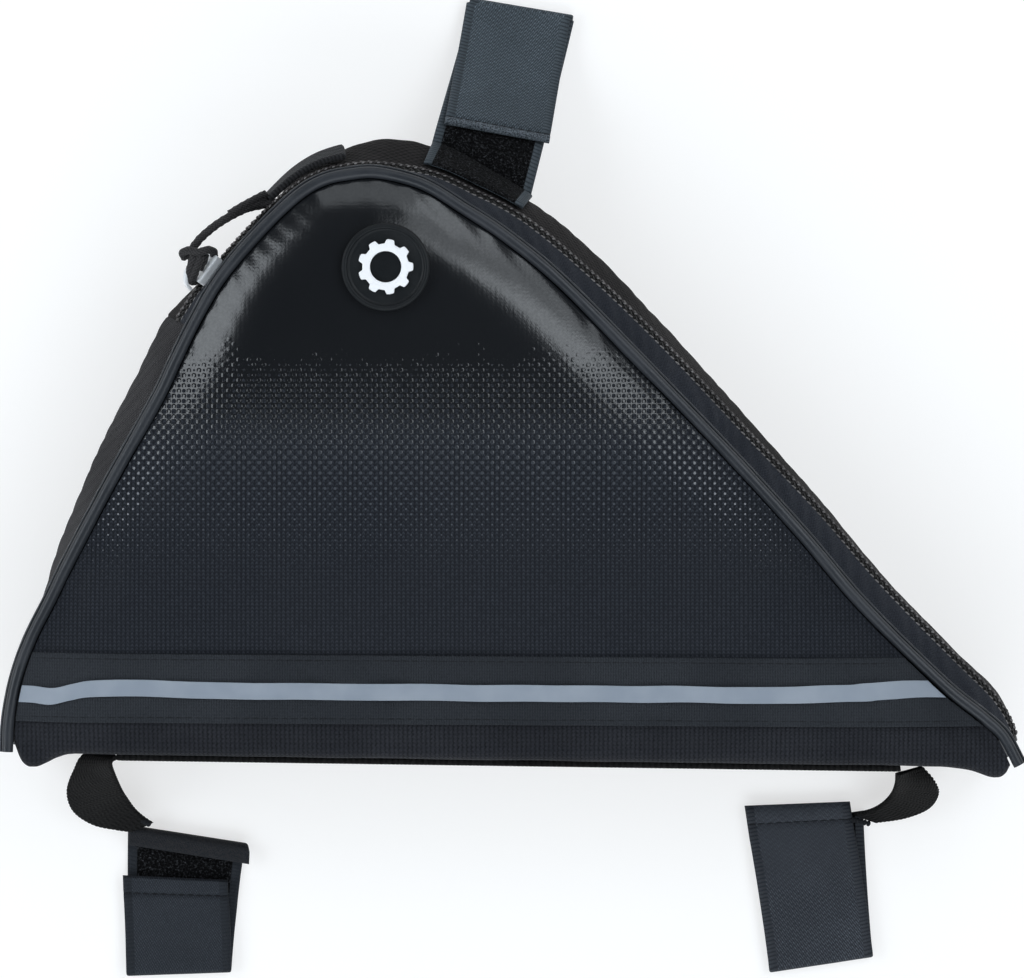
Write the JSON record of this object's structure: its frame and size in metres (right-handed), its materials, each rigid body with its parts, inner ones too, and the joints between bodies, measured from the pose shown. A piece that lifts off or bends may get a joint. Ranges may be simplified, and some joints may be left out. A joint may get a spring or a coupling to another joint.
{
  "type": "top tube bag",
  "caption": "Triangular top tube bag lying on its back: domed coated front, corded edges, curved coil zip, reflective ribbon, webbing and hook-and-loop straps",
  "frame": {"origin": "middle of the bag's footprint, on the surface it lies on", "axes": "+X along the base towards the long pointed end; +Y from the base to the rounded top; +Z is the thickness, from the back panel on the floor to the domed front"},
  "size_m": [0.2889, 0.2849, 0.0568],
  "materials": {
    "coated_cloth": "woven cloth with a glossy printed film that fades out downwards",
    "woven_cloth": "matte twill",
    "ribbed_cloth": "matte, fine upright ribs",
    "zip_tape": "matte knitted tape",
    "coil_plastic": "satin coil",
    "piping_cover": "satin coated cloth over a cord",
    "reflective_film": "grey reflective film",
    "badge_rubber": "soft matte rubber",
    "emblem_white": "matte white rubber",
    "webbing_yarn": "matte ribbed webbing",
    "hook_and_loop": "woven back with a slight sheen, looped pile inside",
    "slider_metal": "bright nickel plate",
    "cord_braid": "matte braided cord"
  },
  "bodies": {
    "root": {"front_panel": "coated_cloth", "back_panel": "woven_cloth", "base_wrap": "ribbed_cloth", "side_gusset": "woven_cloth", "front_zip_tape": "zip_tape", "back_gusset": "woven_cloth", "front_piping": "piping_cover", "back_piping": "piping_cover", "zip_chain": "coil_plastic", "zip_slider": "slider_metal", "pull_cord": "cord_braid", "pull_tab": "webbing_yarn", "front_ribbon": "ribbed_cloth", "reflective_stripe": "reflective_film", "badge": "badge_rubber", "badge_cog": "emblem_white", "base_webbing": "webbing_yarn", "left_tail": "webbing_yarn", "right_tail": "webbing_yarn", "left_strap": "hook_and_loop", "right_strap": "hook_and_loop", "top_strap": "hook_and_loop"}
  },
  "joints": []
}
